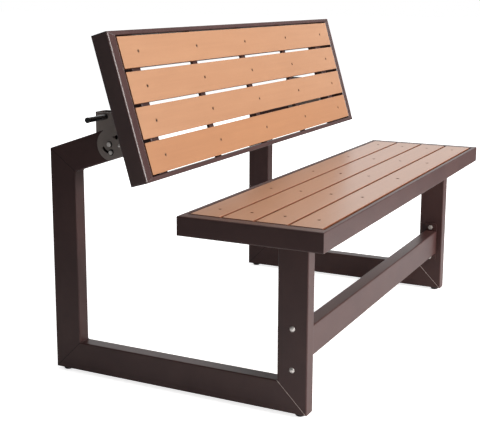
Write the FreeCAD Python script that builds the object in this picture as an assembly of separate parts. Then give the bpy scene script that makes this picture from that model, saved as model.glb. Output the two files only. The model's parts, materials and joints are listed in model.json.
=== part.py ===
import FreeCAD, Part
import math
import os

# Convertible picnic table bench: a steel frame, a slatted seat and a slatted
# panel that is the backrest upright and half of a table top when laid flat.
# X runs along the bench, the sitter faces -Y, Z is up and the floor is Z = 0.
# All lengths are in millimetres and all angles in degrees.

# Side frames
frame_inset = 92.0              # outer face of a side frame from the end of the bench
frame_tube_width = 40.0         # across the frame, along X
frame_tube_depth = 78.0         # in the plane of the frame
frame_wall = 2.0
tube_edge_radius = 3.5
base_depth = 731.0              # over the front and rear posts
rear_post_height = 597.0        # rail underside to the outer corner of the arm
arm_rise = 18.8                 # the arm climbs forward at this angle

# Foot glides
foot_height = 8.0
foot_radius = 12.0
foot_inset = 24.0               # glide centre from the end of the rail
foot_stem_radius = 4.0
foot_stem_length = 10.0

# Slatted frames, the same for the seat and the panel
bench_length = 1400.0
slatted_width = 372.0
slatted_depth = 48.5
long_rail_width = 11.5
end_tube_width = 33.0
end_tube_edge_radius = 4.0
long_rail_edge_radius = 2.5
slatted_wall = 1.5
slat_count = 4
panel_slat_gap = 8.4            # between neighbouring slats of the panel
seat_slat_gap = 7.0             # between neighbouring slats of the seat
slat_thickness = 18.0
slat_proud = 0.5                # slat face above the face of its frame
slat_side_gap = 3.75            # outer slat of the panel to the long rail
slat_end_gap = 1.5              # slat end to the end tube
slat_edge_radius = 1.0
cross_bar_width = 25.0
cross_bar_thickness = 8.0
bearer_depth = 30.0

# Slat screws
screw_radius = 2.5
screw_head_radius = 4.5
screw_head_height = 2.6
screw_length = 25.0
screw_sink = 0.4                # head face below the slat face

# Seat
seat_height = 487.0             # face of the seat frame above the floor
seat_overhang = 73.0            # seat front ahead of the front posts

# Panel and its pivot
recline = 16.5                  # backrest from the vertical
pivot_reach = 188.8             # pivot ahead of the rear face of the rear post
pivot_up_panel = 115.0          # pivot from the lower edge of the panel
pivot_behind_panel = 136.9      # pivot behind the face of the panel frame

# Stretcher
stretcher_centre_height = 169.5
stretcher_plate_thickness = 4.0
stretcher_plate_tab = 27.0      # plate beyond the tube, above and below
stretcher_bolt_offset = 51.5
plate_corner_radius = 8.0

# Hinge housing, folded from plate over the arm
cheek_thickness = 4.0
arm_beyond_pivot = 56.2
tower_back_reach = 43.8         # rear face of the tower behind the pivot
tower_height = 79.5             # top of the housing above the pivot
tower_front_top = 6.0           # top edge ends this far ahead of the pivot
tower_shoulder_reach = 48.2
tower_shoulder_height = 42.0
housing_bend_radius = 8.0
cheek_disc_radius = 41.0
cheek_disc_reach = 3.5          # middle of the disc ahead of the pivot
cheek_disc_drop = 1.5           # middle of the disc below the pivot
relief_radius = 2.0
relief_reach = 25.5             # relief hole behind the pivot
relief_drop = 2.5               # relief hole below the top of the arm
jig_hole_radius = 5.5
jig_hole_reach = 20.2
jig_hole_height = 19.0
jig_tail_length = 9.0
jig_tail_radius = 1.6
rivet_reach = 27.6
rivet_drop = 2.0
rivet_head_radius = 3.6
rivet_head_height = 1.8
rivet_shank_radius = 2.4

# Moving bracket
bracket_thickness = 5.0
flange_thickness = 4.0
flange_half_length = 50.0
hub_radius = 30.0
quadrant_radius = 80.0
bracket_bend_radius = 5.0
window_inner_radius = 38.0
window_outer_radius = 56.0
flange_bolt_spacing = 64.0

# Pivot and guide bolts
pivot_bolt_radius = 5.0
pivot_sleeve_radius = 8.0
guide_bolt_radius = 3.0
guide_reach = 21.0              # guide bolt from the pivot
guide_angle = -102.0            # guide bolt round the pivot
pivot_head_radius = 6.0
guide_head_radius = 5.3
bolt_head_height = 3.5
bolt_head_chamfer = 0.6
nut_radius = 7.5
pivot_nut_radius = 9.0
pivot_inner_washer_radius = 10.0
guide_washer_radius = 7.0
nut_height = 6.5
washer_radius = 7.5
washer_thickness = 1.5
thread_end = 2.0                # bolt end beyond its nut

# Bolts of the stretcher and of the bracket flange
fixing_bolt_radius = 4.0
dome_head_radius = 7.0
dome_head_height = 4.0
rivet_nut_radius = 5.5
rivet_nut_length = 12.0

# Slide latch
latch_reach = 9.4               # latch behind the pivot
latch_height = 68.8             # latch above the pivot
latch_pin_radius = 5.0
latch_grip_radius = 6.5
latch_grip_length = 80.0        # grip outside the housing
latch_grip_inside = 10.0        # grip inside the housing
latch_travel = 12.0
latch_tip_chamfer = 1.5
latch_clip_radius = 10.0
latch_clip_thickness = 1.2
lock_margin = 12.0              # plate round the lock hole

# Arm end plugs
plug_lip = 3.0
plug_depth = 14.0

# Fits
running_clearance = 0.08        # a shaft in its hole
slot_clearance = 0.4            # the guide bolt and the latch pins in the turning plate
fastener_clearance = 0.15       # a bolt or screw in a fixed hole
side_gap = 0.4                  # faces that slide past each other

# Places worked out from the dimensions above
frame_spacing = bench_length - 2 * frame_inset
overall_depth = base_depth + seat_overhang
rear_y = overall_depth / 2
post_y = rear_y - base_depth
seat_front_y = -overall_depth / 2
rail_bottom = foot_height
rail_top = rail_bottom + frame_tube_depth
arm_corner_z = rail_bottom + rear_post_height
half_depth = frame_tube_depth / 2
rise = math.radians(arm_rise)
pivot_y = rear_y - pivot_reach
pivot_z = arm_corner_z + pivot_reach * math.tan(rise) - half_depth / math.cos(rise)
frame_centre_x = frame_spacing / 2 - frame_tube_width / 2
tower_back_y = pivot_y + tower_back_reach
slat_room = slatted_width - 2 * long_rail_width - 2 * slat_side_gap
slat_width = (slat_room - (slat_count - 1) * panel_slat_gap) / slat_count
slat_back = slat_thickness - slat_proud
bearer_bottom = slat_back + bearer_depth
post_top_z = seat_height - bearer_bottom
swing = 90.0 - recline
flange_top = pivot_behind_panel - bearer_bottom
latch_radius = math.hypot(latch_reach, latch_height)
latch_angle = math.degrees(math.atan2(latch_height, latch_reach))
stretcher_y = post_y + half_depth

# Planes along X on one side, measured outward from the middle of the bench
arm_inner = frame_spacing / 2 - frame_tube_width
arm_outer = frame_spacing / 2
cheek_inner = arm_inner - cheek_thickness
cheek_outer = arm_outer + cheek_thickness
plate_outer = cheek_inner - side_gap
plate_inner = plate_outer - bracket_thickness

left = -1
right = 1
sides = {"left": left, "right": right}
along_x = FreeCAD.Vector(1, 0, 0)
along_y = FreeCAD.Vector(0, 1, 0)
along_z = FreeCAD.Vector(0, 0, 1)
long_way = 2000.0


# Shared shapes

def rounded_bar(length, width, depth, radius):
    """Solid bar along +Z, centred on X and Y, its four long edges rounded."""
    blank = Part.makeBox(width, depth, length, FreeCAD.Vector(-width / 2, -depth / 2, 0))
    edges = [e for e in blank.Edges if abs(e.tangentAt(e.FirstParameter).z) > 0.9]
    return blank.makeFillet(radius, edges)


def box_tube(length, width, depth, radius, wall):
    """Rectangular tube along +Z, centred on X and Y."""
    inner_radius = max(radius - wall, 0.4)
    hollow = rounded_bar(length + 2, width - 2 * wall, depth - 2 * wall, inner_radius)
    hollow.translate(FreeCAD.Vector(0, 0, -1))
    return rounded_bar(length, width, depth, radius).cut(hollow)


def lay(solid, start, direction, across=along_x):
    """Turn a bar made along +Z to run from start along direction, its X kept across."""
    turn = FreeCAD.Rotation(across, direction.cross(across), direction, "ZXY")
    solid.Placement = FreeCAD.Placement(start, turn)
    return solid


def prism(points, low_x, high_x):
    """Solid of constant YZ outline between two planes along X."""
    corners = [FreeCAD.Vector(low_x, y, z) for y, z in points]
    face = Part.Face(Part.makePolygon(corners + corners[:1]))
    return face.extrude(FreeCAD.Vector(high_x - low_x, 0, 0))


def rod_x(y, z, radius, low_x, high_x):
    """Round rod parallel to X."""
    return Part.makeCylinder(radius, high_x - low_x, FreeCAD.Vector(low_x, y, z), along_x)


def polar(y, z, radius, angle):
    """Point at a radius and angle round a centre in the YZ plane."""
    turn = math.radians(angle)
    return y + radius * math.cos(turn), z + radius * math.sin(turn)


def arc_slot(y, z, radius, half_width, start, end, low_x, high_x):
    """Curved slot with round ends, following a circle round (y, z)."""
    def spot(r, angle):
        py, pz = polar(y, z, r, angle)
        return FreeCAD.Vector(low_x, py, pz)

    def cap(angle, way):
        cy, cz = polar(y, z, radius, angle)
        py, pz = polar(cy, cz, half_width, angle + way * 90.0)
        return FreeCAD.Vector(low_x, py, pz)

    middle = (start + end) / 2
    wide = radius + half_width
    narrow = radius - half_width
    edges = [
        Part.Arc(spot(wide, start), spot(wide, middle), spot(wide, end)).toShape(),
        Part.Arc(spot(wide, end), cap(end, 1), spot(narrow, end)).toShape(),
        Part.Arc(spot(narrow, end), spot(narrow, middle), spot(narrow, start)).toShape(),
        Part.Arc(spot(narrow, start), cap(start, -1), spot(wide, start)).toShape(),
    ]
    return Part.Face(Part.Wire(edges)).extrude(FreeCAD.Vector(high_x - low_x, 0, 0))


def hexagon_x(y, z, radius, low_x, high_x):
    """Hexagonal prism parallel to X, by its corner radius."""
    points = [polar(y, z, radius, 60.0 * i) for i in range(6)]
    return prism(points, low_x, high_x)


def dome(radius, height, base, direction):
    """Low round bolt head, its flat side at base and its crown along direction."""
    ball_radius = (radius ** 2 + height ** 2) / (2 * height)
    centre = base + direction * (height - ball_radius)
    slab = Part.makeCylinder(radius, height, base, direction)
    return slab.common(Part.makeSphere(ball_radius, centre))


def side_solid(side, low, high, make):
    """Solid between two distances from the middle of the bench, on either side."""
    if side == left:
        return make(-high, -low)
    return make(low, high)


def mirrored(solid):
    """The same solid on the other side of the bench."""
    return solid.mirror(FreeCAD.Vector(0, 0, 0), along_x)


def on_side(solid, side):
    """A solid made for the left side, kept or mirrored to the side asked for."""
    if side == left:
        return solid
    return mirrored(solid)


def save(name, solids):
    """Write one named piece, or one group of like pieces, to its own file."""
    shape = solids[0] if len(solids) == 1 else Part.makeCompound(solids)
    shape.exportStep(os.path.join("parts", name + ".step"))


# Side frame members, each mitred to the next

def frame_member(start, direction, length, outline):
    """Tube in the plane of the left side frame, cut to its mitred outline."""
    first = FreeCAD.Vector(-frame_centre_x, start[0], start[1])
    tube = lay(box_tube(length, frame_tube_width, frame_tube_depth, tube_edge_radius, frame_wall),
               first, direction)
    reach = frame_tube_width
    return tube.common(prism(outline, -frame_centre_x - reach, -frame_centre_x + reach))


def arm_point(ahead, above):
    """Point in the arm's own axes: ahead of the pivot and above the centre line."""
    y = pivot_y - ahead * math.cos(rise) + above * math.sin(rise)
    z = pivot_z + ahead * math.sin(rise) + above * math.cos(rise)
    return y, z


def arm_under_z(y):
    """Height of the underside of the arm above a place along Y."""
    return pivot_z + (pivot_y - y) * math.tan(rise) - half_depth / math.cos(rise)


def arm_top_z(y):
    """Height of the top of the arm above a place along Y."""
    return pivot_z + (pivot_y - y) * math.tan(rise) + half_depth / math.cos(rise)


def front_post():
    """Upright under the seat, mitred to the rail at its foot."""
    outline = [(post_y, rail_bottom), (post_y + frame_tube_depth, rail_top),
               (post_y + frame_tube_depth, post_top_z), (post_y, post_top_z)]
    post = frame_member((post_y + half_depth, rail_bottom), along_z, long_way, outline)
    for offset in (-stretcher_bolt_offset, stretcher_bolt_offset):
        hole = rod_x(stretcher_y, stretcher_centre_height + offset,
                     fixing_bolt_radius + fastener_clearance, -arm_outer - 1, -arm_inner + 1)
        post = post.cut(hole)
    return post


def bottom_rail():
    """Rail along the floor, mitred at both ends, bored for the glide stems."""
    outline = [(post_y, rail_bottom), (rear_y, rail_bottom),
               (rear_y - frame_tube_depth, rail_top), (post_y + frame_tube_depth, rail_top)]
    rail = frame_member((post_y, rail_bottom + half_depth), along_y, base_depth, outline)
    for y in foot_places():
        bore = Part.makeCylinder(foot_stem_radius + fastener_clearance, frame_wall + 2,
                                 FreeCAD.Vector(-frame_centre_x, y, rail_bottom - 1), along_z)
        rail = rail.cut(bore)
    return rail


def rear_post():
    """Upright at the back, mitred to the rail and to the arm."""
    inner_y = rear_y - frame_tube_depth
    outline = [(rear_y, rail_bottom), (rear_y, arm_corner_z),
               (inner_y, arm_under_z(inner_y)), (inner_y, rail_top)]
    return frame_member((rear_y - half_depth, rail_bottom), along_z, long_way, outline)


def upper_arm():
    """Arm climbing forward to the hinge, bored and slotted for its bolts."""
    inner_y = rear_y - frame_tube_depth
    direction = FreeCAD.Vector(0, -math.cos(rise), math.sin(rise))
    outline = [(rear_y, arm_corner_z), arm_point(arm_beyond_pivot, half_depth),
               arm_point(arm_beyond_pivot, -half_depth), (inner_y, arm_under_z(inner_y))]
    arm = frame_member(arm_point(-long_way / 2, 0), direction, long_way, outline)
    arm = arm.cut(rod_x(pivot_y, pivot_z, pivot_bolt_radius + fastener_clearance,
                        -arm_outer - 1, -arm_inner + 1))
    arm = arm.cut(guide_slot(-arm_outer - 1, -arm_inner + 1))
    arm = arm.cut(rod_x(pivot_y - jig_hole_reach, pivot_z + jig_hole_height, jig_hole_radius,
                        -arm_outer - 1, -arm_outer + frame_wall + 1))
    rivet_y, rivet_z = rivet_place()
    return arm.cut(rod_x(rivet_y, rivet_z, rivet_shank_radius + fastener_clearance,
                         -arm_outer - 1, -arm_outer + frame_wall + 1))


def foot_places():
    """Places along Y of the two glides of one rail."""
    return post_y + foot_inset, rear_y - foot_inset


def foot_glide(side, y):
    """Plastic glide with a stem pressed into the rail."""
    x = side * frame_centre_x
    pad = Part.makeCylinder(foot_radius, foot_height, FreeCAD.Vector(x, y, 0), along_z)
    rim = [e for e in pad.Edges if isinstance(e.Curve, Part.Circle) and e.CenterOfMass.z < 1]
    pad = pad.makeChamfer(foot_height / 5, rim)
    stem = Part.makeCylinder(foot_stem_radius, foot_stem_length,
                             FreeCAD.Vector(x, y, foot_height), along_z)
    return pad.fuse(stem).removeSplitter()


def arm_end_plug():
    """Plastic plug that closes the front end of the left arm."""
    direction = FreeCAD.Vector(0, -math.cos(rise), math.sin(rise))
    lip_y, lip_z = arm_point(arm_beyond_pivot, 0)
    lip = lay(rounded_bar(plug_lip, frame_tube_width, frame_tube_depth, tube_edge_radius),
              FreeCAD.Vector(-frame_centre_x, lip_y, lip_z), direction)
    back = FreeCAD.Vector(0, lip_y, lip_z)
    rim = [e for e in lip.Edges if direction.dot(e.CenterOfMass - back) > plug_lip - 0.1]
    lip = lip.makeFillet(plug_lip / 3, rim)
    inset = frame_wall + fastener_clearance
    start_y, start_z = arm_point(arm_beyond_pivot - plug_depth, 0)
    body = lay(rounded_bar(plug_depth, frame_tube_width - 2 * inset, frame_tube_depth - 2 * inset, 1.0),
               FreeCAD.Vector(-frame_centre_x, start_y, start_z), direction)
    return lip.fuse(body).removeSplitter()


# Hinge housing, fixed to the arm

def guide_slot(low_x, high_x):
    """Curved slot of the housing and the arm, with the guide bolt at its lower end."""
    half_width = guide_bolt_radius + slot_clearance
    return arc_slot(pivot_y, pivot_z, guide_reach, half_width,
                    guide_angle, guide_angle + swing, low_x, high_x)


def rivet_place():
    """Place of the rivet that pins the housing to the arm."""
    return pivot_y - rivet_reach, pivot_z - rivet_drop


def latch_place():
    """Place of the latch axis in the YZ plane."""
    return pivot_y + latch_reach, pivot_z + latch_height


def cheek(low_x, high_x):
    """Side plate of the housing: a disc about the pivot, a strip and a tower."""
    tower = [
        (tower_back_y, arm_top_z(tower_back_y)),
        (tower_back_y, pivot_z + tower_height),
        (pivot_y - tower_front_top, pivot_z + tower_height),
        (pivot_y - tower_shoulder_reach, pivot_z + tower_shoulder_height),
        (pivot_y - tower_shoulder_reach, pivot_z),
        (pivot_y, pivot_z),
        (pivot_y + half_depth / 2, arm_top_z(pivot_y + half_depth / 2)),
    ]
    strip = [(pivot_y, pivot_z), arm_point(0, -half_depth), arm_point(arm_beyond_pivot, -half_depth),
             arm_point(arm_beyond_pivot, half_depth / 2)]
    disc = rod_x(pivot_y - cheek_disc_reach, pivot_z - cheek_disc_drop, cheek_disc_radius, low_x, high_x)
    width = 2 * cheek_disc_radius
    disc = disc.cut(prism([arm_point(-width, -half_depth), arm_point(width, -half_depth),
                           arm_point(width, -width), arm_point(-width, -width)], low_x, high_x))
    plate = disc.fuse(prism(tower, low_x, high_x)).fuse(prism(strip, low_x, high_x))
    return plate.removeSplitter()


def hinge_housing():
    """Folded plate housing of the left side: two cheeks joined by a rear web."""
    front_y = tower_back_y - cheek_thickness
    web = prism([(front_y, arm_top_z(front_y)), (tower_back_y, arm_top_z(tower_back_y)),
                 (tower_back_y, pivot_z + tower_height), (front_y, pivot_z + tower_height)],
                -cheek_outer, -cheek_inner)
    housing = cheek(-cheek_outer, -arm_outer).fuse(cheek(-arm_inner, -cheek_inner)).fuse(web)
    housing = housing.removeSplitter()
    bend = [e for e in housing.Edges
            if abs(e.tangentAt(e.FirstParameter).z) > 0.99 and abs(e.CenterOfMass.y - tower_back_y) < 0.01
            and e.Length > cheek_thickness]
    housing = housing.makeFillet(housing_bend_radius, bend)
    relief_y = pivot_y + relief_reach
    housing = housing.cut(rod_x(relief_y, arm_top_z(relief_y) - relief_drop, relief_radius,
                                -cheek_outer - 1, -arm_outer))
    housing = housing.cut(rod_x(pivot_y, pivot_z, pivot_bolt_radius + fastener_clearance,
                                -cheek_outer - 1, -cheek_inner + 1))
    housing = housing.cut(guide_slot(-cheek_outer - 1, -cheek_inner + 1))
    latch_y, latch_z = latch_place()
    housing = housing.cut(rod_x(latch_y, latch_z, latch_grip_radius + running_clearance,
                                -cheek_outer - 1, -arm_outer + 1))
    housing = housing.cut(rod_x(latch_y, latch_z, latch_pin_radius + running_clearance,
                                -arm_inner - 1, -cheek_inner + 1))
    rivet_y, rivet_z = rivet_place()
    housing = housing.cut(rod_x(rivet_y, rivet_z, rivet_shank_radius + fastener_clearance,
                                -cheek_outer - 1, -arm_outer))
    return housing.cut(jig_hole())


def jig_hole():
    """Keyhole opening in the outer cheek, a round hole with a narrow tail."""
    y = pivot_y - jig_hole_reach
    z = pivot_z + jig_hole_height
    hole = rod_x(y, z, jig_hole_radius, -cheek_outer - 1, -arm_outer)
    tail = prism([(y, z - jig_tail_radius), (y + jig_tail_length, z - jig_tail_radius),
                  (y + jig_tail_length, z + jig_tail_radius), (y, z + jig_tail_radius)],
                 -cheek_outer - 1, -arm_outer)
    end = rod_x(y + jig_tail_length, z, jig_tail_radius, -cheek_outer - 1, -arm_outer)
    return hole.fuse(tail).fuse(end)


def housing_rivet():
    """Blind rivet through the outer cheek and the wall of the arm."""
    y, z = rivet_place()
    face = FreeCAD.Vector(-cheek_outer, y, z)
    shank = rod_x(y, z, rivet_shank_radius, -cheek_outer, -arm_outer + frame_wall)
    tail = rod_x(y, z, rivet_shank_radius * 1.5, -arm_outer + frame_wall, -arm_outer + 2 * frame_wall)
    head = dome(rivet_head_radius, rivet_head_height, face, -along_x)
    return head.fuse(shank).fuse(tail).removeSplitter()


# Moving bracket, carried by the panel and made in the panel's own axes

def panel_spot(up, out):
    """Point of the panel's own YZ plane, measured from the pivot."""
    return pivot_up_panel + up, out - pivot_behind_panel


def hinge_bracket():
    """Plate that turns on the pivot, with a guide slot, a lock quadrant and a flange."""
    centre = panel_spot(0, 0)
    low_x = -plate_outer
    high_x = -plate_inner
    neck = prism([panel_spot(-flange_half_length, flange_top), panel_spot(flange_half_length, flange_top),
                  panel_spot(hub_radius, 0), panel_spot(-hub_radius, 0)], low_x, high_x)
    plate = rod_x(centre[0], centre[1], hub_radius, low_x, high_x).fuse(neck)
    plate = plate.fuse(quadrant(low_x, high_x))
    flange = prism([panel_spot(-flange_half_length, flange_top - flange_thickness),
                    panel_spot(flange_half_length, flange_top - flange_thickness),
                    panel_spot(flange_half_length, flange_top), panel_spot(-flange_half_length, flange_top)],
                   -arm_outer, high_x)
    bracket = plate.fuse(flange).removeSplitter()
    bend = [e for e in bracket.Edges
            if abs(e.tangentAt(e.FirstParameter).y) > 0.99 and abs(e.CenterOfMass.x - high_x) < 0.01
            and abs(e.CenterOfMass.z - panel_spot(0, flange_top)[1]) < 0.01]
    bracket = bracket.makeFillet(bracket_bend_radius, bend)
    for y, z, radius in bracket_holes():
        bracket = bracket.cut(rod_x(y, z, radius, low_x - 1, high_x + 1))
    bracket = bracket.cut(arc_slot(centre[0], centre[1], guide_reach, guide_bolt_radius + slot_clearance,
                                   guide_angle - swing, guide_angle, low_x - 1, high_x + 1))
    for up in (-flange_bolt_spacing / 2, flange_bolt_spacing / 2):
        y, z = panel_spot(up, flange_top - flange_thickness - 1)
        bracket = bracket.cut(Part.makeCylinder(fixing_bolt_radius + fastener_clearance, flange_thickness + 2,
                                                FreeCAD.Vector(-frame_centre_x, y, z), along_z))
    return bracket


def quadrant(low_x, high_x):
    """Quarter disc that carries the two lock holes, with a curved window."""
    centre = panel_spot(0, 0)
    first = latch_angle - swing - math.degrees(math.asin(lock_margin / latch_radius))
    start = polar(centre[0], centre[1], quadrant_radius, first)
    middle = polar(centre[0], centre[1], quadrant_radius, (first + 90.0) / 2)
    end = polar(centre[0], centre[1], quadrant_radius, 90.0)
    corner = FreeCAD.Vector(low_x, centre[0], centre[1])
    points = [FreeCAD.Vector(low_x, y, z) for y, z in (start, middle, end)]
    rim = [Part.LineSegment(corner, points[0]).toShape(), Part.Arc(*points).toShape(),
           Part.LineSegment(points[2], corner).toShape()]
    plate = Part.Face(Part.Wire(rim)).extrude(FreeCAD.Vector(high_x - low_x, 0, 0))
    window_middle = (window_inner_radius + window_outer_radius) / 2
    window_half = (window_outer_radius - window_inner_radius) / 2
    lock_low = latch_angle - swing
    window = arc_slot(centre[0], centre[1], window_middle, window_half,
                      lock_low + swing * 0.25, lock_low + swing * 0.62, low_x - 1, high_x + 1)
    return plate.cut(window)


def bracket_holes():
    """Holes through the turning plate: the pivot and the two lock holes."""
    centre = panel_spot(0, 0)
    holes = [(centre[0], centre[1], pivot_bolt_radius + running_clearance)]
    for angle in (latch_angle - swing, latch_angle):
        y, z = polar(centre[0], centre[1], latch_radius, angle)
        holes.append((y, z, latch_pin_radius + slot_clearance))
    return holes


def flange_bolt(up):
    """Bolt that holds the bracket flange to the bearer, from below."""
    y, z = panel_spot(up, flange_top - flange_thickness)
    base = FreeCAD.Vector(-frame_centre_x, y, z)
    reach = flange_thickness + rivet_nut_length + thread_end
    shank = Part.makeCylinder(fixing_bolt_radius, reach, base, along_z)
    head = dome(dome_head_radius, dome_head_height, base, -along_z)
    return head.fuse(shank).removeSplitter()


def flange_nut(up):
    """Rivet nut in the underside of the bearer."""
    y, z = panel_spot(up, flange_top)
    base = FreeCAD.Vector(-frame_centre_x, y, z)
    body = Part.makeCylinder(rivet_nut_radius, rivet_nut_length, base, along_z)
    bore = Part.makeCylinder(fixing_bolt_radius + fastener_clearance, rivet_nut_length, base, along_z)
    return body.cut(bore)


# Pivot and guide bolts of the left side

def hinge_bolt(y, z, radius, head_radius):
    """Bolt through the housing, the arm and the turning plate."""
    head_x = -cheek_outer - washer_thickness
    end_x = -plate_inner + side_gap + washer_thickness + nut_height + thread_end
    return round_head(y, z, head_radius, head_x).fuse(rod_x(y, z, radius, head_x, end_x)).removeSplitter()


def round_head(y, z, radius, base_x):
    """Cylindrical bolt head standing out from base_x, its outer rim chamfered."""
    head = rod_x(y, z, radius, base_x - bolt_head_height, base_x)
    rim = [e for e in head.Edges if isinstance(e.Curve, Part.Circle) and e.CenterOfMass.x < base_x - 0.1]
    return head.makeChamfer(bolt_head_chamfer, rim)


def hinge_washers(y, z, bolt_radius, inner_washer_radius):
    """Washers under the head and under the nut of a hinge bolt."""
    bore = bolt_radius + fastener_clearance
    outer = ring_x(y, z, washer_radius, bore, -cheek_outer - washer_thickness, -cheek_outer)
    low_x = -plate_inner + side_gap
    inner = ring_x(y, z, inner_washer_radius, bore, low_x, low_x + washer_thickness)
    return [outer, inner]


def hinge_nut(y, z, bolt_radius, radius):
    """Hexagon nut of a hinge bolt."""
    low_x = -plate_inner + side_gap + washer_thickness
    nut = hexagon_x(y, z, radius, low_x, low_x + nut_height)
    return nut.cut(rod_x(y, z, bolt_radius + fastener_clearance, low_x - 1, low_x + nut_height + 1))


def pivot_sleeve():
    """Spacer tube inside the arm that keeps the bolt from crushing it."""
    return ring_x(pivot_y, pivot_z, pivot_sleeve_radius, pivot_bolt_radius + fastener_clearance,
                  -arm_outer + frame_wall, -arm_inner - frame_wall)


def ring_x(y, z, outer, inner, low_x, high_x):
    """Plain ring parallel to X."""
    return rod_x(y, z, outer, low_x, high_x).cut(rod_x(y, z, inner, low_x - 1, high_x + 1))


def guide_place():
    """Place of the guide bolt, which the slot of the turning plate runs over."""
    return polar(pivot_y, pivot_z, guide_reach, guide_angle)


# Slide latch of the left side, drawn out as it is while the panel is free to turn

def latch_pin():
    """Steel pin whose tip enters a lock hole of the turning plate."""
    y, z = latch_place()
    tip_x = -cheek_inner - side_gap
    tail_x = -cheek_outer - latch_grip_length + latch_grip_radius / 2
    pin = rod_x(y, z, latch_pin_radius, tail_x, tip_x)
    rim = [e for e in pin.Edges if isinstance(e.Curve, Part.Circle) and e.CenterOfMass.x > tip_x - 0.1]
    return pin.makeChamfer(latch_tip_chamfer, rim)


def latch_grip():
    """Round grip moulded over the outer end of the pin."""
    y, z = latch_place()
    low_x = -cheek_outer - latch_grip_length
    high_x = -arm_outer + latch_grip_inside
    grip = rod_x(y, z, latch_grip_radius, low_x, high_x)
    rim = [e for e in grip.Edges if isinstance(e.Curve, Part.Circle) and e.CenterOfMass.x < low_x + 0.1]
    grip = grip.makeFillet(latch_grip_radius / 3, rim)
    bore = rod_x(y, z, latch_pin_radius, low_x + latch_grip_radius / 2, high_x + 1)
    return grip.cut(bore)


def latch_clip():
    """Retaining ring on the grip, just inside the outer cheek."""
    y, z = latch_place()
    low_x = -arm_outer + side_gap
    return ring_x(y, z, latch_clip_radius, latch_grip_radius, low_x, low_x + latch_clip_thickness)


# Stretcher between the front posts

def stretcher():
    """Tube on edge between the two end plates."""
    half_length = arm_inner - stretcher_plate_thickness
    start = FreeCAD.Vector(-half_length, stretcher_y, stretcher_centre_height)
    tube = box_tube(2 * half_length, frame_tube_width, frame_tube_depth, tube_edge_radius, frame_wall)
    return lay(tube, start, along_x, along_y)


def stretcher_plate(side):
    """End plate against the inner face of a post, with a tab above and below."""
    height = frame_tube_depth + 2 * stretcher_plate_tab
    start_x = arm_inner if side == right else -arm_inner
    start = FreeCAD.Vector(start_x, stretcher_y, stretcher_centre_height)
    plate = rounded_bar(stretcher_plate_thickness, frame_tube_width, height, plate_corner_radius)
    plate = lay(plate, start, along_x * -side, along_y)
    for offset in (-stretcher_bolt_offset, stretcher_bolt_offset):
        hole = rod_x(stretcher_y, stretcher_centre_height + offset,
                     fixing_bolt_radius + fastener_clearance, -frame_spacing, frame_spacing)
        plate = plate.cut(hole)
    return plate


def stretcher_bolt(side, offset):
    """Dome-headed bolt through a post and the end plate."""
    z = stretcher_centre_height + offset
    inward = along_x * -side
    base = FreeCAD.Vector(side * arm_outer, stretcher_y, z)
    length = frame_tube_width + stretcher_plate_thickness + nut_height + thread_end
    shank = Part.makeCylinder(fixing_bolt_radius, length, base, inward)
    head = dome(dome_head_radius, dome_head_height, base, inward * -1)
    return head.fuse(shank).removeSplitter()


def stretcher_nut(side, offset):
    """Nut against the end plate."""
    z = stretcher_centre_height + offset
    face = arm_inner - stretcher_plate_thickness
    return side_solid(side, face - nut_height, face, lambda low, high: hexagon_x(
        stretcher_y, z, nut_radius, low, high).cut(
        rod_x(stretcher_y, z, fixing_bolt_radius + fastener_clearance, low - 1, high + 1)))


# Slatted frames, made flat with the lower or front edge at Y = 0 and the face at Z = 0

def slat_centres(gap):
    """Places across the frame of the middles of the slats, the same margin at both edges."""
    pitch = slat_width + gap
    first = (slatted_width - (slat_count - 1) * pitch) / 2
    return [first + i * pitch for i in range(slat_count)]


def cross_bar_places():
    """Places along X of the cross bars, evenly between the two bearers."""
    return [frame_centre_x * share for share in (-0.5, 0.0, 0.5)]


def screw_places():
    """Places along X of the screws: over every bearer and cross bar."""
    return [-frame_centre_x] + cross_bar_places() + [frame_centre_x]


def plan_prism(points):
    """Solid over a plan outline, as deep as a slatted frame and a little more."""
    corners = [FreeCAD.Vector(x, y, -slatted_depth - 1) for x, y in points]
    face = Part.Face(Part.makePolygon(corners + corners[:1]))
    return face.extrude(FreeCAD.Vector(0, 0, slatted_depth + 2))


def long_rail(outer_y, inner_y):
    """Tube along the frame between two places, its ends mitred to meet the end tubes."""
    tube = box_tube(bench_length, long_rail_width, slatted_depth, long_rail_edge_radius, slatted_wall)
    half = bench_length / 2
    start = FreeCAD.Vector(-half, (outer_y + inner_y) / 2, -slatted_depth / 2)
    tube = lay(tube, start, along_x, along_y)
    inner_half = half - end_tube_width
    return tube.common(plan_prism([(-half, outer_y), (half, outer_y),
                                   (inner_half, inner_y), (-inner_half, inner_y)]))


def end_tube(side):
    """Tube across one end of the frame, its ends mitred to meet the long rails."""
    tube = box_tube(slatted_width, end_tube_width, slatted_depth, end_tube_edge_radius, slatted_wall)
    outer_x = side * bench_length / 2
    inner_x = outer_x - side * end_tube_width
    tube = lay(tube, FreeCAD.Vector((outer_x + inner_x) / 2, 0, -slatted_depth / 2), along_y, along_x)
    return tube.common(plan_prism([(outer_x, 0), (inner_x, long_rail_width),
                                   (inner_x, slatted_width - long_rail_width), (outer_x, slatted_width)]))


def bearer(side, centres):
    """Wider tube under the slats in line with a side frame."""
    length = slatted_width - 2 * long_rail_width
    tube = box_tube(length, frame_tube_width, bearer_depth, tube_edge_radius, frame_wall)
    x = side * frame_centre_x
    tube = lay(tube, FreeCAD.Vector(x, long_rail_width, -slat_back - bearer_depth / 2), along_y, along_x)
    for y in centres:
        tube = tube.cut(screw_bore(x, y))
    return tube


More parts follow.
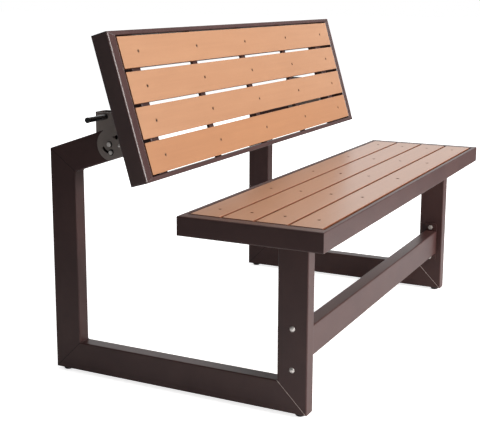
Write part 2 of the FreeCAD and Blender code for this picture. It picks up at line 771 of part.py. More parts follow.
def panel_bearer(side, centres):
    """Bearer of the panel, also bored for the rivet nuts of the hinge bracket."""
    tube = bearer(side, centres)
    for up in (-flange_bolt_spacing / 2, flange_bolt_spacing / 2):
        y, z = panel_spot(up, flange_top - 1)
        tube = tube.cut(Part.makeCylinder(rivet_nut_radius + fastener_clearance, frame_wall + 2,
                                          FreeCAD.Vector(side * frame_centre_x, y, z), along_z))
    return tube


def cross_bar(x, centres):
    """Flat bar under the slats, bored for their screws."""
    length = slatted_width - 2 * long_rail_width
    bar = Part.makeBox(cross_bar_width, length, cross_bar_thickness,
                       FreeCAD.Vector(x - cross_bar_width / 2, long_rail_width,
                                      -slat_back - cross_bar_thickness))
    for y in centres:
        bar = bar.cut(screw_bore(x, y))
    return bar


def screw_bore(x, y):
    """Drilled hole that a slat screw bites into."""
    depth = screw_length + screw_sink
    return Part.makeCylinder(screw_radius + fastener_clearance, depth,
                             FreeCAD.Vector(x, y, slat_proud - depth - 1), along_z)


def slat(centre_y):
    """Board with rounded long edges and countersunk screw holes."""
    length = bench_length - 2 * end_tube_width - 2 * slat_end_gap
    board = rounded_bar(length, slat_width, slat_thickness, slat_edge_radius)
    start = FreeCAD.Vector(-length / 2, centre_y, slat_proud - slat_thickness / 2)
    board = lay(board, start, along_x, along_y)
    for x in screw_places():
        top = FreeCAD.Vector(x, centre_y, slat_proud - screw_sink)
        bore = Part.makeCylinder(screw_radius + fastener_clearance, slat_thickness + 2,
                                 FreeCAD.Vector(x, centre_y, -slat_back - 1), along_z)
        sink = Part.makeCone(screw_radius + fastener_clearance, screw_head_radius + fastener_clearance,
                             screw_head_height, top - along_z * screw_head_height, along_z)
        mouth = Part.makeCylinder(screw_head_radius + fastener_clearance, screw_sink + 1, top, along_z)
        board = board.cut(bore.fuse(sink).fuse(mouth))
    return board


def screw(x, y):
    """Countersunk screw with a pointed tip."""
    top = FreeCAD.Vector(x, y, slat_proud - screw_sink)
    head = Part.makeCone(screw_radius, screw_head_radius, screw_head_height,
                         top - along_z * screw_head_height, along_z)
    shank_length = screw_length - screw_head_height - screw_radius * 2
    shank = Part.makeCylinder(screw_radius, shank_length,
                              top - along_z * (screw_head_height + shank_length), along_z)
    tip = Part.makeCone(0.4, screw_radius, screw_radius * 2, top - along_z * screw_length, along_z)
    return head.fuse(shank).fuse(tip).removeSplitter()


def slatted_pieces(name, edge_words, bearer_of, gap):
    """Every piece of one slatted frame by name, in the frame's own axes."""
    centres = slat_centres(gap)
    pieces = {
        name + "_" + edge_words[0] + "_rail": [long_rail(0, long_rail_width)],
        name + "_" + edge_words[1] + "_rail": [long_rail(slatted_width, slatted_width - long_rail_width)],
    }
    for word, side in sides.items():
        pieces[name + "_end_tube_" + word] = [end_tube(side)]
        pieces[name + "_bearer_" + word] = [bearer_of(side, centres)]
    pieces[name + "_cross_bars"] = [cross_bar(x, centres) for x in cross_bar_places()]
    for i, y in enumerate(centres):
        pieces[name + "_slat_" + str(i + 1)] = [slat(y)]
    pieces[name + "_screws"] = [screw(x, y) for x in screw_places() for y in centres]
    return pieces


def panel_placement():
    """Turn and shift from the panel's own axes to the bench position."""
    turn = FreeCAD.Rotation(along_x, swing)
    own_pivot = FreeCAD.Vector(0, *panel_spot(0, 0))
    shift = FreeCAD.Vector(0, pivot_y, pivot_z) - turn.multVec(own_pivot)
    return FreeCAD.Placement(shift, turn)


def placed(solid, placement):
    """The solid moved by a placement, on top of the one it has."""
    moved = solid.copy()
    moved.Placement = placement.multiply(moved.Placement)
    return moved


def both_sides(solids):
    """Left side solids and their mirror images."""
    return solids + [mirrored(solid) for solid in solids]


def fixed_frame():
    """Pieces of the steel frame and of its hinge housings, by name."""
    pieces = {}
    for word, side in sides.items():
        pieces["front_post_" + word] = [on_side(front_post(), side)]
        pieces["bottom_rail_" + word] = [on_side(bottom_rail(), side)]
        pieces["rear_post_" + word] = [on_side(rear_post(), side)]
        pieces["upper_arm_" + word] = [on_side(upper_arm(), side)]
        pieces["hinge_housing_" + word] = [on_side(hinge_housing(), side)]
    pieces["arm_end_plugs"] = both_sides([arm_end_plug()])
    pieces["foot_glides"] = [foot_glide(side, y) for side in sides.values() for y in foot_places()]
    pieces["housing_rivets"] = both_sides([housing_rivet()])
    pivot = (pivot_y, pivot_z)
    pieces["pivot_bolts"] = both_sides([hinge_bolt(*pivot, pivot_bolt_radius, pivot_head_radius)])
    pieces["pivot_washers"] = both_sides(hinge_washers(*pivot, pivot_bolt_radius, pivot_inner_washer_radius))
    pieces["pivot_nuts"] = both_sides([hinge_nut(*pivot, pivot_bolt_radius, pivot_nut_radius)])
    pieces["pivot_sleeves"] = both_sides([pivot_sleeve()])
    guide = guide_place()
    pieces["guide_bolts"] = both_sides([hinge_bolt(*guide, guide_bolt_radius, guide_head_radius)])
    pieces["guide_washers"] = both_sides(hinge_washers(*guide, guide_bolt_radius, guide_washer_radius))
    pieces["guide_nuts"] = both_sides([hinge_nut(*guide, guide_bolt_radius, guide_head_radius)])
    return pieces


def stretcher_pieces():
    """The stretcher with its end plates, bolts and nuts, by name."""
    spots = [(side, offset) for side in sides.values()
             for offset in (-stretcher_bolt_offset, stretcher_bolt_offset)]
    return {
        "stretcher": [stretcher()],
        "stretcher_end_plates": [stretcher_plate(side) for side in sides.values()],
        "stretcher_bolts": [stretcher_bolt(side, offset) for side, offset in spots],
        "stretcher_nuts": [stretcher_nut(side, offset) for side, offset in spots],
    }


def latch_pieces():
    """The two slide latches, by name."""
    pieces = {}
    for word, side in sides.items():
        pieces["latch_pin_" + word] = [on_side(latch_pin(), side)]
        pieces["latch_grip_" + word] = [on_side(latch_grip(), side)]
        pieces["latch_clip_" + word] = [on_side(latch_clip(), side)]
    return pieces


def panel_pieces():
    """The panel and the hinge pieces that turn with it, in the panel's own axes."""
    pieces = slatted_pieces("panel", ("lower", "upper"), panel_bearer, panel_slat_gap)
    for word, side in sides.items():
        pieces["hinge_bracket_" + word] = [on_side(hinge_bracket(), side)]
    ups = (-flange_bolt_spacing / 2, flange_bolt_spacing / 2)
    pieces["bracket_bolts"] = both_sides([flange_bolt(up) for up in ups])
    pieces["bracket_rivet_nuts"] = both_sides([flange_nut(up) for up in ups])
    return pieces


def main():
    """Build every piece and write it to its file."""
    os.makedirs("parts", exist_ok=True)
    seat_place = FreeCAD.Placement(FreeCAD.Vector(0, seat_front_y, seat_height), FreeCAD.Rotation())
    pieces = dict(fixed_frame(), **stretcher_pieces(), **latch_pieces())
    for name, solids in slatted_pieces("seat", ("front", "rear"), bearer, seat_slat_gap).items():
        pieces[name] = [placed(solid, seat_place) for solid in solids]
    bench_place = panel_placement()
    for name, solids in panel_pieces().items():
        pieces[name] = [placed(solid, bench_place) for solid in solids]
    for name, solids in pieces.items():
        save(name, solids)
    print(len(pieces), "pieces written")


main()
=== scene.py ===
import json
import math

import bmesh
import bpy
from mathutils import Matrix, Vector


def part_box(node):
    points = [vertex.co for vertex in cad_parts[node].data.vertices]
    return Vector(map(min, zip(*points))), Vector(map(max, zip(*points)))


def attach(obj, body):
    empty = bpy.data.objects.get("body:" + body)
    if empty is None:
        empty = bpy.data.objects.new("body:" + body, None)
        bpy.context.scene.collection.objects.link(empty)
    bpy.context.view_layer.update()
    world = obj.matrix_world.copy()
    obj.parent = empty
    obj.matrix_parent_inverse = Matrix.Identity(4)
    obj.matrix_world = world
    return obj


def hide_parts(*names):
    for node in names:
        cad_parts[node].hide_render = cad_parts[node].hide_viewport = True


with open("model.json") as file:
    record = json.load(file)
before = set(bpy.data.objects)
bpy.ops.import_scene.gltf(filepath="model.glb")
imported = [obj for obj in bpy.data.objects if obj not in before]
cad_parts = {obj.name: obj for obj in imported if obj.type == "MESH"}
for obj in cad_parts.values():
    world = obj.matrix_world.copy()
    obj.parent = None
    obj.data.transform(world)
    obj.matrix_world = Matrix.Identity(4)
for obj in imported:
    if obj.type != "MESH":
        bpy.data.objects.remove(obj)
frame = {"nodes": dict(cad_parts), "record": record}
NODES = frame["nodes"]
NODE_BODY = {node: body for body, nodes in frame["record"]["behaviour"]["bodies"].items() for node in nodes}
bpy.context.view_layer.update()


def span(node, axis):
    """Lowest and highest value of a CAD node along one axis, to a tenth of a millimetre."""
    low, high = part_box(node)
    return round(low[axis], 4), round(high[axis], 4)


# Camera, from edges measured on the photograph: pixels, metres and degrees
PHOTO_WIDTH = 480
PHOTO_HEIGHT = 435
FOCAL_PIXELS = 989.448
CENTRE_PIXEL = (242.35, 182.739)
CAMERA_AT = (-2.659975, -1.178728, 0.999063)
CAMERA_YAW = 63.528
CAMERA_PITCH = -10.798
CAMERA_ROLL = 0.176
SENSOR = 36.0

# Lamps: place, point aimed at, width and height, in metres, then power in watts and colour
LAMPS = {
    "front": ((0.3, -4.0, 1.8), (0.0, 0.0, 0.5), (3.4, 2.6), 330.0, (1.0, 0.98, 0.96)),
    "top": ((-0.2, -0.3, 3.8), (-0.2, 0.0, 0.4), (3.4, 3.0), 56.0, (1.0, 1.0, 1.0)),
    "back": ((4.6, 2.3, 2.3), (0.0, 0.0, 0.9), (9.0, 4.4), 115.0, (1.0, 1.0, 1.0)),
}

# Room: its light, what glossy faces mirror of it, and the floor's reach, lit part and glow, in metres
ROOM_LIGHT = 0.03
MIRRORED_ROOM = 0.2
FLOOR_REACH = 40.0
FLOOR_WHITE = 0.92
FLOOR_DARK = 0.05
FLOOR_ROUGHNESS = 0.9
LIT_FLOOR = (1.2, 3.0)
FLOOR_LIFT = (0.8, 1.05)
FLOOR_GLOW = 0.24
GLOW_CENTRE = (-1.3, -0.7)
GLOW_REACH = (0.3, 1.6)

# Side frames, from the CAD model
FRAME_INNER, FRAME_OUTER = span("bottom_rail_right", 0)
POST_FRONT, REAR_BACK = span("bottom_rail_right", 1)
RAIL_LOW, RAIL_HIGH = span("bottom_rail_right", 2)
TUBE = RAIL_HIGH - RAIL_LOW
ARM_CORNER = span("rear_post_right", 2)[1]
ARM_INNER_CORNER = span("upper_arm_right", 2)[0]

# Directions that the boards of the seat and of the upright panel face
RECLINE = math.radians(16.5)
SEAT_FACING = Vector((0.0, 0.0, 1.0))
PANEL_FACING = Vector((0.0, -math.cos(RECLINE), math.sin(RECLINE)))

# Thin raised lines along the mitre joints, coloured as a painted highlight at the front and as a painted
# shadow at the rear: step along the line, half width, height and how it wavers
SEAM_STEP = 0.003
SEAM_HALF = 0.0005
SEAM_PROUD = 0.00018
SEAM_INSET = 0.03
SEAM_WAVER = 0.25
SEAM_TURNS = (1.7, 0.6)

# Weld beads: ripples and a slower swell along them
WELD_RADIUS = 0.0022
WELD_STEP = 0.0012
WELD_INSET = 0.003
BEAD_SIDES = 10
RIPPLE_TURN = 2.1
RIPPLE_SHARE = 0.16
SWELL_TURN = 0.9
SWELL_SHARE = 0.06

# Screws: rings from the floor of the recess outward and down, as radius, lobe and height above the face
SCREW_PROFILE = (
    (0.0016, 0.0003, -0.0016), (0.0021, 0.0004, -0.0001), (0.0023, 0.0004, 0.0),
    (0.0043, 0.0, 0.0), (0.0045, 0.0, -0.0002), (0.0045, 0.0, -0.0008),
    (0.0025, 0.0, -0.0026), (0.0025, 0.0, -0.0230), (0.0008, 0.0, -0.0250),
)
# Rows of the recess, from its floor, that take the painted shade
RECESS_ROWS = 2
RECESS_LOBES = 6
SCREW_SIDES = 36
SCREW_TURNS = (37.0, 91.0, 53.0)
TOP_WITHIN = 1e-5

# Latch caps: rings as radius and distance beyond the end of the grip
CAP_PROFILE = (
    (0.0062, -0.0060), (0.0069, -0.0056), (0.0072, -0.0045), (0.0072, -0.0008),
    (0.0069, 0.0004), (0.0062, 0.0010), (0.0052, 0.0010), (0.0047, 0.0002),
    (0.0040, -0.0002), (0.0020, 0.0002), (0.0006, 0.0003),
)
CAP_SIDES = 32

# Windows of noise values that a pattern is spread over, from the sharpest to the softest
NARROW = (0.35, 0.65)
MEDIUM = (0.3, 0.7)
WIDE = (0.2, 0.8)
FULL = (0.1, 0.9)

# Powder coat: how fine its patterns are, per metre, range of roughness, bump strength and depth
COAT_CLOUDS = 9.0
COAT_GRAIN = 900.0
COAT_GRAIN_SHARE = 0.12
COAT_RANGE = (-0.05, 0.07)
COAT_RELIEF = (0.12, 0.0004)
SOFT_EDGE = 0.006
EDGE_SAMPLES = 8

# Boards: how fine each pattern is along and across the grain, and the share of it that shows
BOARD_CLOUDS = (1.5, 8.0, 8.0)
BOARD_MOTTLE = (9.0, 30.0, 30.0)
BOARD_STREAKS = (3.0, 95.0, 95.0)
BOARD_FIBRES = (70.0, 700.0, 700.0)
BOARD_SHIFT = (3.7, 1.3, 2.1)
PANEL_SEED = 4
MOTTLE_SHARE = 0.2
STREAK_SHARE = 0.34
FIBRE_SHARE = 0.14
FIBRE_RELIEF = (0.08, 0.0002)
BOARD_ROUGHNESS = (0.29, 0.35)
BOARD_SHINE = 1.0
# Painted shade on the sides of the boards: how far a face turns from the board's face before it is darkened,
# and the dark tone as a share of the deep one
SHADED_SIDE_FACING = (0.5, 0.92)
PAINTED_SIDE_SHADE = (0.8, 0.58, 0.48)

# Plated steel and plastic: how fine their patterns are, per metre, and how much of them shows
PLATING_CLOUDS = 160.0
PLATING_DULL = 0.72
PLATING_DULL_SHARE = 0.35
PLATING_WEAR = 420.0
PLATING_RANGE = (-0.05, 0.06)
PLATING_GRAIN = 2600.0
PLATING_RELIEF = (0.05, 0.0001)
PLASTIC_CLOUDS = 40.0
PLASTIC_PALE_SHARE = 0.3
PLASTIC_GRAIN = 700.0
PLASTIC_RANGE = (-0.04, 0.06)
PLASTIC_DEPTH = 0.0004


class Graph:
    """Short way to write the node graph of a material or of the world."""

    def __init__(self, owner, shader):
        owner.use_nodes = True
        self.owner = owner
        self.tree = owner.node_tree
        self.shader = self.tree.nodes[shader]

    def node(self, kind, **values):
        """New node with some of its values set."""
        made = self.tree.nodes.new(kind)
        for key, value in values.items():
            setattr(made, key, value)
        return made

    def link(self, source, target):
        self.tree.links.new(source, target)

    def put(self, socket, value):
        """Set a socket to a number or colour, or link it."""
        if isinstance(value, bpy.types.NodeSocket):
            self.link(value, socket)
        else:
            socket.default_value = value

    def place(self):
        """Place on the object, in metres."""
        return self.node("ShaderNodeTexCoord").outputs["Object"]

    def stretched(self, scale, shift=(0.0, 0.0, 0.0)):
        """Object place scaled along each axis, for grain that runs one way."""
        mapping = self.node("ShaderNodeMapping")
        self.link(self.place(), mapping.inputs["Vector"])
        mapping.inputs["Scale"].default_value = scale
        mapping.inputs["Location"].default_value = shift
        return mapping.outputs["Vector"]

    def length(self, vector):
        """Distance of a place from the origin."""
        made = self.node("ShaderNodeVectorMath", operation="LENGTH")
        self.link(vector, made.inputs[0])
        return made.outputs["Value"]

    def noise(self, vector, scale, detail=3.0, roughness=0.55):
        """Noise from 0 to 1, mostly near the middle."""
        made = self.node("ShaderNodeTexNoise")
        self.link(vector, made.inputs["Vector"])
        made.inputs["Scale"].default_value = scale
        made.inputs["Detail"].default_value = detail
        made.inputs["Roughness"].default_value = roughness
        return made.outputs["Fac"]

    def spread(self, value, low, high, to_low=0.0, to_high=1.0):
        """Value stretched from one range to another, and held at its ends."""
        made = self.node("ShaderNodeMapRange")
        self.put(made.inputs["Value"], value)
        made.inputs["From Min"].default_value = low
        made.inputs["From Max"].default_value = high
        made.inputs["To Min"].default_value = to_low
        made.inputs["To Max"].default_value = to_high
        return made.outputs["Result"]

    def mix(self, share, first, second):
        """Colour between two others, by a share of the second."""
        made = self.node("ShaderNodeMix", data_type="RGBA")
        self.put(made.inputs["Factor"], share)
        self.put(made.inputs[6], first)
        self.put(made.inputs[7], second)
        return made.outputs[2]

    def math(self, operation, first, second):
        made = self.node("ShaderNodeMath", operation=operation)
        self.put(made.inputs[0], first)
        self.put(made.inputs[1], second)
        return made.outputs[0]

    def rays(self):
        """Light path of the ray, and whether it is one that the camera sees straight on or through glass."""
        ray = self.node("ShaderNodeLightPath").outputs
        return ray, self.math("MAXIMUM", ray["Is Camera Ray"], ray["Is Transmission Ray"])

    def bump(self, height, strength, distance, normal=None):
        """Normal of a surface with a fine relief."""
        made = self.node("ShaderNodeBump")
        made.inputs["Strength"].default_value = strength
        made.inputs["Distance"].default_value = distance
        self.link(height, made.inputs["Height"])
        if normal is not None:
            self.link(normal, made.inputs["Normal"])
        return made.outputs["Normal"]

    def surface(self, **values):
        """Set sockets of the shader by name, with spaces written as underscores."""
        for key, value in values.items():
            self.put(self.shader.inputs[key.replace("_", " ")], value)


def new_finish(name):
    """Node graph of a new material."""
    return Graph(bpy.data.materials.new(name), "Principled BSDF")


def rgb(red, green, blue):
    """Scene colour of a screen colour given as 0 to 255."""
    def linear(v):
        v = v / 255
        return v / 12.92 if v <= 0.04045 else ((v + 0.055) / 1.055) ** 2.4
    return (linear(red), linear(green), linear(blue), 1.0)


def grey(level):
    """Neutral scene colour."""
    return (level, level, level, 1.0)


def powder_coat(name, deep, light, roughness, shine, edge=0.0):
    """Satin powder coat: fine orange peel, faint clouding and, where an edge is given, soft wide edges."""
    g = new_finish(name)
    clouds = g.spread(g.noise(g.place(), COAT_CLOUDS), *NARROW)
    grain = g.noise(g.place(), COAT_GRAIN, detail=2.0)
    colour = g.mix(clouds, deep, light)
    g.surface(Base_Color=g.mix(g.spread(grain, *MEDIUM, 0.0, COAT_GRAIN_SHARE), colour, light))
    g.surface(Roughness=g.spread(grain, *MEDIUM, *(roughness + v for v in COAT_RANGE)))
    g.surface(Specular_IOR_Level=shine)
    soft = None
    if edge:
        rounding = g.node("ShaderNodeBevel", samples=EDGE_SAMPLES)
        rounding.inputs["Radius"].default_value = edge
        soft = rounding.outputs["Normal"]
    g.surface(Normal=g.bump(grain, *COAT_RELIEF, soft))
    return g.owner


def board(name, deep, middle, light, seed, facing):
    """Slat of fine-grained board: soft clouds, streaks along its length, fibres, and sides painted darker as
    shade.
    """
    g = new_finish(name)
    shift = tuple(seed * v for v in BOARD_SHIFT)
    clouds = g.noise(g.stretched(BOARD_CLOUDS, shift), 1.0)
    mottle = g.noise(g.stretched(BOARD_MOTTLE, shift), 1.0, roughness=0.5)
    streaks = g.noise(g.stretched(BOARD_STREAKS, shift), 1.0, detail=4.0)
    fibres = g.noise(g.stretched(BOARD_FIBRES, shift), 1.0)
    base = g.mix(g.spread(clouds, *WIDE), middle, light)
    base = g.mix(g.spread(mottle, *FULL, 0.0, MOTTLE_SHARE), base, deep)
    base = g.mix(g.spread(streaks, *FULL, 0.0, STREAK_SHARE), base, deep)
    base = g.mix(g.spread(fibres, *WIDE, 0.0, FIBRE_SHARE), base, deep)
    # Painted shade: faces that turn away from the board's face, its sides and ends, are darkened
    flat = g.node("ShaderNodeVectorMath", operation="DOT_PRODUCT")
    g.link(g.node("ShaderNodeTexCoord").outputs["Normal"], flat.inputs[0])
    flat.inputs[1].default_value = facing
    side_shade = tuple(shade * v for shade, v in zip(PAINTED_SIDE_SHADE, deep)) + (1.0,)
    upright = g.math("ABSOLUTE", flat.outputs["Value"], 0.0)
    base = g.mix(g.spread(upright, *SHADED_SIDE_FACING, 1.0, 0.0), base, side_shade)
    g.surface(Base_Color=base)
    g.surface(Roughness=g.spread(fibres, *WIDE, *BOARD_ROUGHNESS))
    g.surface(Specular_IOR_Level=BOARD_SHINE)
    g.surface(Normal=g.bump(fibres, *FIBRE_RELIEF))
    return g.owner


def plating(name, colour, roughness, metal=1.0):
    """Plated steel with faint clouding and a fine grain."""
    g = new_finish(name)
    clouds = g.spread(g.noise(g.place(), PLATING_CLOUDS), *MEDIUM, 0.0, PLATING_DULL_SHARE)
    dull = tuple(PLATING_DULL * v for v in colour[:3]) + (1.0,)
    wear = g.noise(g.place(), PLATING_WEAR)
    g.surface(Base_Color=g.mix(clouds, colour, dull))
    g.surface(Metallic=metal)
    g.surface(Roughness=g.spread(wear, *MEDIUM, *(roughness + v for v in PLATING_RANGE)))
    g.surface(Normal=g.bump(g.noise(g.place(), PLATING_GRAIN, detail=2.0), *PLATING_RELIEF))
    return g.owner


def plastic(name, colour, roughness, texture):
    """Moulded plastic with a faint texture."""
    g = new_finish(name)
    clouds = g.spread(g.noise(g.place(), PLASTIC_CLOUDS), *MEDIUM, 0.0, PLASTIC_PALE_SHARE)
    grain = g.noise(g.place(), PLASTIC_GRAIN, detail=2.0)
    g.surface(Base_Color=g.mix(clouds, colour, PALE_PLASTIC))
    g.surface(Roughness=g.spread(grain, *MEDIUM, *(roughness + v for v in PLASTIC_RANGE)))
    g.surface(Normal=g.bump(grain, texture, PLASTIC_DEPTH))
    return g.owner


PALE_PLASTIC = rgb(40, 40, 42)
PAINT = powder_coat("frame_coat", rgb(62, 40, 39), rgb(69, 46, 44), 0.37, 0.32)
END_PAINT = powder_coat("end_coat", rgb(62, 39, 38), rgb(69, 46, 44), 0.2, 0.7, SOFT_EDGE)
PLATE = powder_coat("hinge_coat", rgb(128, 118, 113), rgb(142, 132, 127), 0.42, 0.4)
STEEL = plating("plated_steel", rgb(220, 215, 211), 0.42, 0.75)
SCREW = plating("screw_steel", rgb(150, 112, 84), 0.45, 0.2)
# Painted shade: dark colour of the walls and floor of the recess in each screw head
RECESS_SHADE = plating("painted_recess_shade", rgb(52, 36, 30), 0.6, 0.2)
# Painted highlight: pale colour of the thin lines on the front mitre joints
HIGHLIGHT_SEAM = plating("painted_highlight_seam", rgb(214, 196, 190), 0.5, 0.3)
# Painted shadow: dark colour of the thin lines on the rear mitre joints
SHADOW_SEAM = powder_coat("shadow_seam", rgb(26, 17, 17), rgb(34, 23, 22), 0.55, 0.2)
GRIP = plastic("grip_plastic", rgb(18, 18, 20), 0.12, 0.02)
BLACK = plastic("black_plastic", rgb(24, 24, 25), 0.5, 0.15)
SEAT_TONES = (rgb(140, 94, 67), rgb(170, 124, 93), rgb(180, 136, 105))
BACK_TONES = (rgb(143, 97, 65), rgb(175, 128, 94), rgb(184, 137, 102))
LOWEST_TONES = (rgb(140, 92, 58), rgb(172, 121, 84), rgb(181, 130, 91))
FINISH_OF_SLOT = {"frame_paint": PAINT, "hinge_plate": PLATE, "plated_steel": STEEL, "screw_steel": SCREW,
                  "grip_plastic": GRIP, "black_plastic": BLACK}


def finish_of(name, slot):
    """Finish of a CAD node: each board and the end tubes of the panel have their own."""
    if name.startswith("seat_slat_"):
        return board("board_" + name, *SEAT_TONES, int(name[-1]), SEAT_FACING)
    if name.startswith("panel_slat_"):
        tones = LOWEST_TONES if name == "panel_slat_1" else BACK_TONES
        return board("board_" + name, *tones, int(name[-1]) + PANEL_SEED, PANEL_FACING)
    if name.startswith("panel_end_tube_"):
        return END_PAINT
    return FINISH_OF_SLOT[slot]


def paint_nodes():
    """Give every node of the CAD model its finish."""
    slot_of = {entry["node"]: entry["material_slot"] for entry in frame["record"]["subparts"]}
    for name, node in NODES.items():
        node.data.materials.clear()
        node.data.materials.append(finish_of(name, slot_of[name]))


def piece(name, shape, finishes, body, smooth=True):
    """Object of a bmesh that rides on a body, with the finishes given in its material slots."""
    mesh = bpy.data.meshes.new(name)
    bmesh.ops.recalc_face_normals(shape, faces=shape.faces)
    shape.to_mesh(mesh)
    shape.free()
    for face in mesh.polygons:
        face.use_smooth = smooth
    for finish in finishes:
        mesh.materials.append(finish)
    made = bpy.data.objects.new(name, mesh)
    bpy.context.collection.objects.link(made)
    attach(made, body)
    return made


def swept(shape, rings):
    """Skin over rings of equally many points, with its two ends capped."""
    made = [[shape.verts.new(point) for point in ring] for ring in rings]
    for first, second in zip(made, made[1:]):
        for i in range(len(first)):
            j = (i + 1) % len(first)
            shape.faces.new((first[i], first[j], second[j], second[i]))
    shape.faces.new(made[0])
    shape.faces.new(made[-1])


def line(start, end, step):
    """Points from start to end, about a step apart."""
    start, end = Vector(start), Vector(end)
    count = max(2, round((end - start).length / step))
    return [start.lerp(end, i / count) for i in range(count + 1)]


def bead(shape, start, end):
    """Weld bead along a straight corner: a tube with the ripples that a torch leaves."""
    rings = []
    path = line(start, end, WELD_STEP)
    for i, point in enumerate(path):
        before = path[max(i - 1, 0)]
        after = path[min(i + 1, len(path) - 1)]
        along = (after - before).normalized()
        side = along.orthogonal().normalized()
        up = along.cross(side)
        ripple = RIPPLE_SHARE * math.cos(i * RIPPLE_TURN)
        swell = SWELL_SHARE * math.sin(i * SWELL_TURN)
        radius = WELD_RADIUS * (1.0 + ripple + swell)
        angles = [k * math.tau / BEAD_SIDES for k in range(BEAD_SIDES)]
        rings.append([point + (side * math.cos(a) + up * math.sin(a)) * radius for a in angles])
    swept(shape, rings)


def seam(shape, x, outward, start, end):
    """Fine ridge along a mitre joint on a side face of a frame, coloured as a painted highlight or a painted
    shadow line.
    """
    first, last = Vector((x, *start)), Vector((x, *end))
    along = (last - first).normalized()
    across = along.cross(Vector((1, 0, 0)))
    crest = Vector((outward * SEAM_PROUD, 0, 0))
    rings = []
    for i, point in enumerate(line(first, last, SEAM_STEP)):
        waver = SEAM_WAVER * math.sin(i * SEAM_TURNS[0]) * math.sin(i * SEAM_TURNS[1])
        wide = SEAM_HALF * (1.0 + waver)
        rings.append([point - across * wide, point + crest, point + across * wide])
    swept(shape, rings)


def mitre_joints():
    """Painted highlight lines on the front mitre joints, painted shadow lines on the rear ones, and weld
    beads where the tubes of the two side frames meet.
    """
    pale, dark, welds = bmesh.new(), bmesh.new(), bmesh.new()
    front_low = ((POST_FRONT, RAIL_LOW), (POST_FRONT + TUBE, RAIL_LOW + TUBE))
    rear_low = ((REAR_BACK, RAIL_LOW), (REAR_BACK - TUBE, RAIL_LOW + TUBE))
    rear_high = ((REAR_BACK, ARM_CORNER), (REAR_BACK - TUBE, ARM_INNER_CORNER))
    for side in (-1, 1):
        for x in (FRAME_OUTER, FRAME_INNER):
            outward = side if x == FRAME_OUTER else -side
            for shape, (start, end) in ((pale, front_low), (dark, rear_low), (dark, rear_high)):
                start = tuple(a + (b - a) * SEAM_INSET for a, b in zip(start, end))
                seam(shape, side * x, outward, start, end)
        inner, outer = side * (FRAME_INNER + WELD_INSET), side * (FRAME_OUTER - WELD_INSET)
        for _, corner in (front_low, rear_low, rear_high):
            bead(welds, (inner, *corner), (outer, *corner))
    piece("mitre_highlight_lines_front", pale, [HIGHLIGHT_SEAM], "base", smooth=False)
    piece("mitre_shadow_lines_rear", dark, [SHADOW_SEAM], "base", smooth=False)
    piece("corner_welds", welds, [PAINT], "base")


def head_places(name, facing):
    """Middle of the flat head of each screw of a CAD node."""
    source = bmesh.new()
    source.from_mesh(NODES[name].data)
    left_over, places = set(source.verts), []
    while left_over:
        island, queue = [], [left_over.pop()]
        while queue:
            vert = queue.pop()
            island.append(vert.co.copy())
            for edge in vert.link_edges:
                other = edge.other_vert(vert)
                if other in left_over:
                    left_over.discard(other)
                    queue.append(other)
        height = max(point.dot(facing) for point in island)
        top = [point for point in island if point.dot(facing) > height - TOP_WITHIN]
        places.append(sum(top, Vector()) / len(top))
    source.free()
    return places


def screw(shape, place, facing):
    """One screw, at a turn that follows from its place, with a lobed recess sunk in its head and coloured
    with painted shade.
    """
    across = Vector((1, 0, 0))
    up = facing.cross(across)
    turn = sum(v * step for v, step in zip(place, SCREW_TURNS)) % math.tau
    rings = []
    for radius, lobe, height in SCREW_PROFILE:
        ring = []
        for k in range(SCREW_SIDES):
            angle = k * math.tau / SCREW_SIDES
            reach = radius + lobe * math.cos(RECESS_LOBES * angle)
            aside = across * math.cos(angle + turn) + up * math.sin(angle + turn)
            ring.append(shape.verts.new(place + facing * height + aside * reach))
        rings.append(ring)
    for row, (first, second) in enumerate(zip(rings, rings[1:])):
        for i in range(SCREW_SIDES):
            j = (i + 1) % SCREW_SIDES
            face = shape.faces.new((first[i], first[j], second[j], second[i]))
            face.material_index = 1 if row < RECESS_ROWS else 0
    shape.faces.new(rings[0]).material_index = 1
    shape.faces.new(rings[-1])


def screw_heads(name, facing):
    """Screws of one slatted piece, in place of the plain ones of the CAD model."""
    shape = bmesh.new()
    for place in head_places(name, facing):
        screw(shape, place, facing)
    made = piece(name + "_recessed", shape, [SCREW, RECESS_SHADE], NODE_BODY[name], smooth=False)
    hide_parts(name)


def latch_caps():
    """Moulded cap with a rolled rim on the outer end of each latch grip."""
    angles = [k * math.tau / CAP_SIDES for k in range(CAP_SIDES)]
    for name, side in (("left", -1), ("right", 1)):
        low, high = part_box("latch_grip_" + name)
        y, z = (low[1] + high[1]) / 2, (low[2] + high[2]) / 2
        end = low[0] if side < 0 else high[0]
        shape = bmesh.new()
        swept(shape, [[(end + side * out, y + radius * math.cos(a), z + radius * math.sin(a)) for a in angles]
                      for radius, out in CAP_PROFILE])
        piece("latch_cap_" + name, shape, [GRIP], "latch_" + name)


def area_light(name, at, toward, size, power, colour):
    """Large soft lamp aimed at a point, which the camera doesn't see."""
    data = bpy.data.lights.new(name, "AREA")
    data.shape = "RECTANGLE"
    data.size, data.size_y = size
    data.energy = power
    data.color = colour
    lamp = bpy.data.objects.new(name, data)
    lamp.location = at
    lamp.rotation_mode = "QUATERNION"
    lamp.rotation_quaternion = (Vector(toward) - Vector(at)).to_track_quat("-Z", "Y")
    lamp.visible_camera = False
    bpy.context.collection.objects.link(lamp)


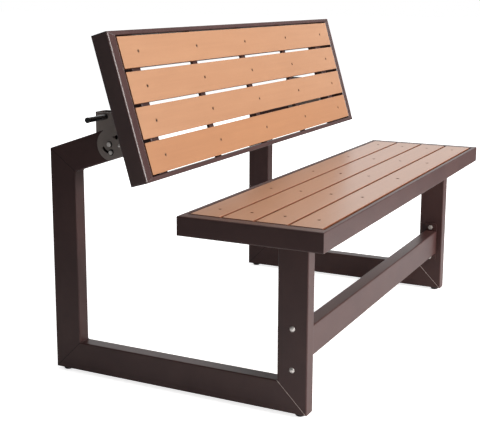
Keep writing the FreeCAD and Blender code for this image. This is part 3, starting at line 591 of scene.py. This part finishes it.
def floor_finish():
    """Floor that is white where it is seen, and sends up light only near the bench."""
    g = new_finish("pale_floor")
    ray, seen = g.rays()
    fade = g.spread(g.length(g.place()), *LIT_FLOOR)
    white = grey(FLOOR_WHITE)
    g.surface(Base_Color=g.mix(seen, g.mix(fade, white, grey(FLOOR_DARK)), white))
    g.surface(Roughness=FLOOR_ROUGHNESS)
    near = g.stretched((1.0, 1.0, 1.0), (-GLOW_CENTRE[0], -GLOW_CENTRE[1], 0.0))
    glow = g.spread(g.length(near), *GLOW_REACH, FLOOR_GLOW, 0.0)
    lift = g.spread(fade, 0.0, 1.0, *FLOOR_LIFT)
    mirrored = g.math("MULTIPLY", ray["Is Glossy Ray"], g.spread(fade, 0.0, 1.0, 0.0, MIRRORED_ROOM))
    g.surface(Emission_Color=grey(1.0))
    g.surface(Emission_Strength=g.mix(seen, g.math("ADD", glow, mirrored), lift))
    return g.owner


def lay_floor():
    """Wide flat floor under the feet."""
    mesh = bpy.data.meshes.new("floor")
    corners = [(-1, -1), (1, -1), (1, 1), (-1, 1)]
    mesh.from_pydata([(x * FLOOR_REACH, y * FLOOR_REACH, 0) for x, y in corners], [], [(0, 1, 2, 3)])
    mesh.materials.append(floor_finish())
    floor = bpy.data.objects.new("floor", mesh)
    bpy.context.collection.objects.link(floor)


def room():
    """Dark room that is white where it is seen, and pale where glossy faces mirror it."""
    world = bpy.data.worlds.new("studio")
    bpy.context.scene.world = world
    g = Graph(world, "Background")
    ray, seen = g.rays()
    lit = g.mix(ray["Is Glossy Ray"], grey(ROOM_LIGHT), grey(MIRRORED_ROOM))
    g.surface(Color=g.mix(seen, lit, grey(1.0)))
    g.surface(Strength=1.0)


def camera():
    """Camera at the photograph's place and angle."""
    yaw, pitch, roll = (math.radians(v) for v in (CAMERA_YAW, CAMERA_PITCH, CAMERA_ROLL))
    ahead = Vector((math.sin(yaw) * math.cos(pitch), math.cos(yaw) * math.cos(pitch), math.sin(pitch)))
    right = Vector((math.cos(yaw), -math.sin(yaw), 0.0))
    up = right.cross(ahead)
    right, up = (right * math.cos(roll) + up * math.sin(roll), up * math.cos(roll) - right * math.sin(roll))
    data = bpy.data.cameras.new("camera")
    data.sensor_width = SENSOR
    data.lens = FOCAL_PIXELS / PHOTO_WIDTH * SENSOR
    data.shift_x = (PHOTO_WIDTH / 2 - CENTRE_PIXEL[0]) / PHOTO_WIDTH
    data.shift_y = (CENTRE_PIXEL[1] - PHOTO_HEIGHT / 2) / PHOTO_WIDTH
    shot = bpy.data.objects.new("camera", data)
    turn = Matrix((right, up, -ahead)).transposed().to_4x4()
    shot.matrix_world = Matrix.Translation(CAMERA_AT) @ turn
    bpy.context.collection.objects.link(shot)
    bpy.context.scene.camera = shot


paint_nodes()
mitre_joints()
screw_heads("seat_screws", SEAT_FACING)
screw_heads("panel_screws", PANEL_FACING)
latch_caps()
lay_floor()
room()
for lamp_name, lamp_values in LAMPS.items():
    area_light(lamp_name, *lamp_values)
camera()
bpy.context.scene.view_settings.view_transform = "Standard"
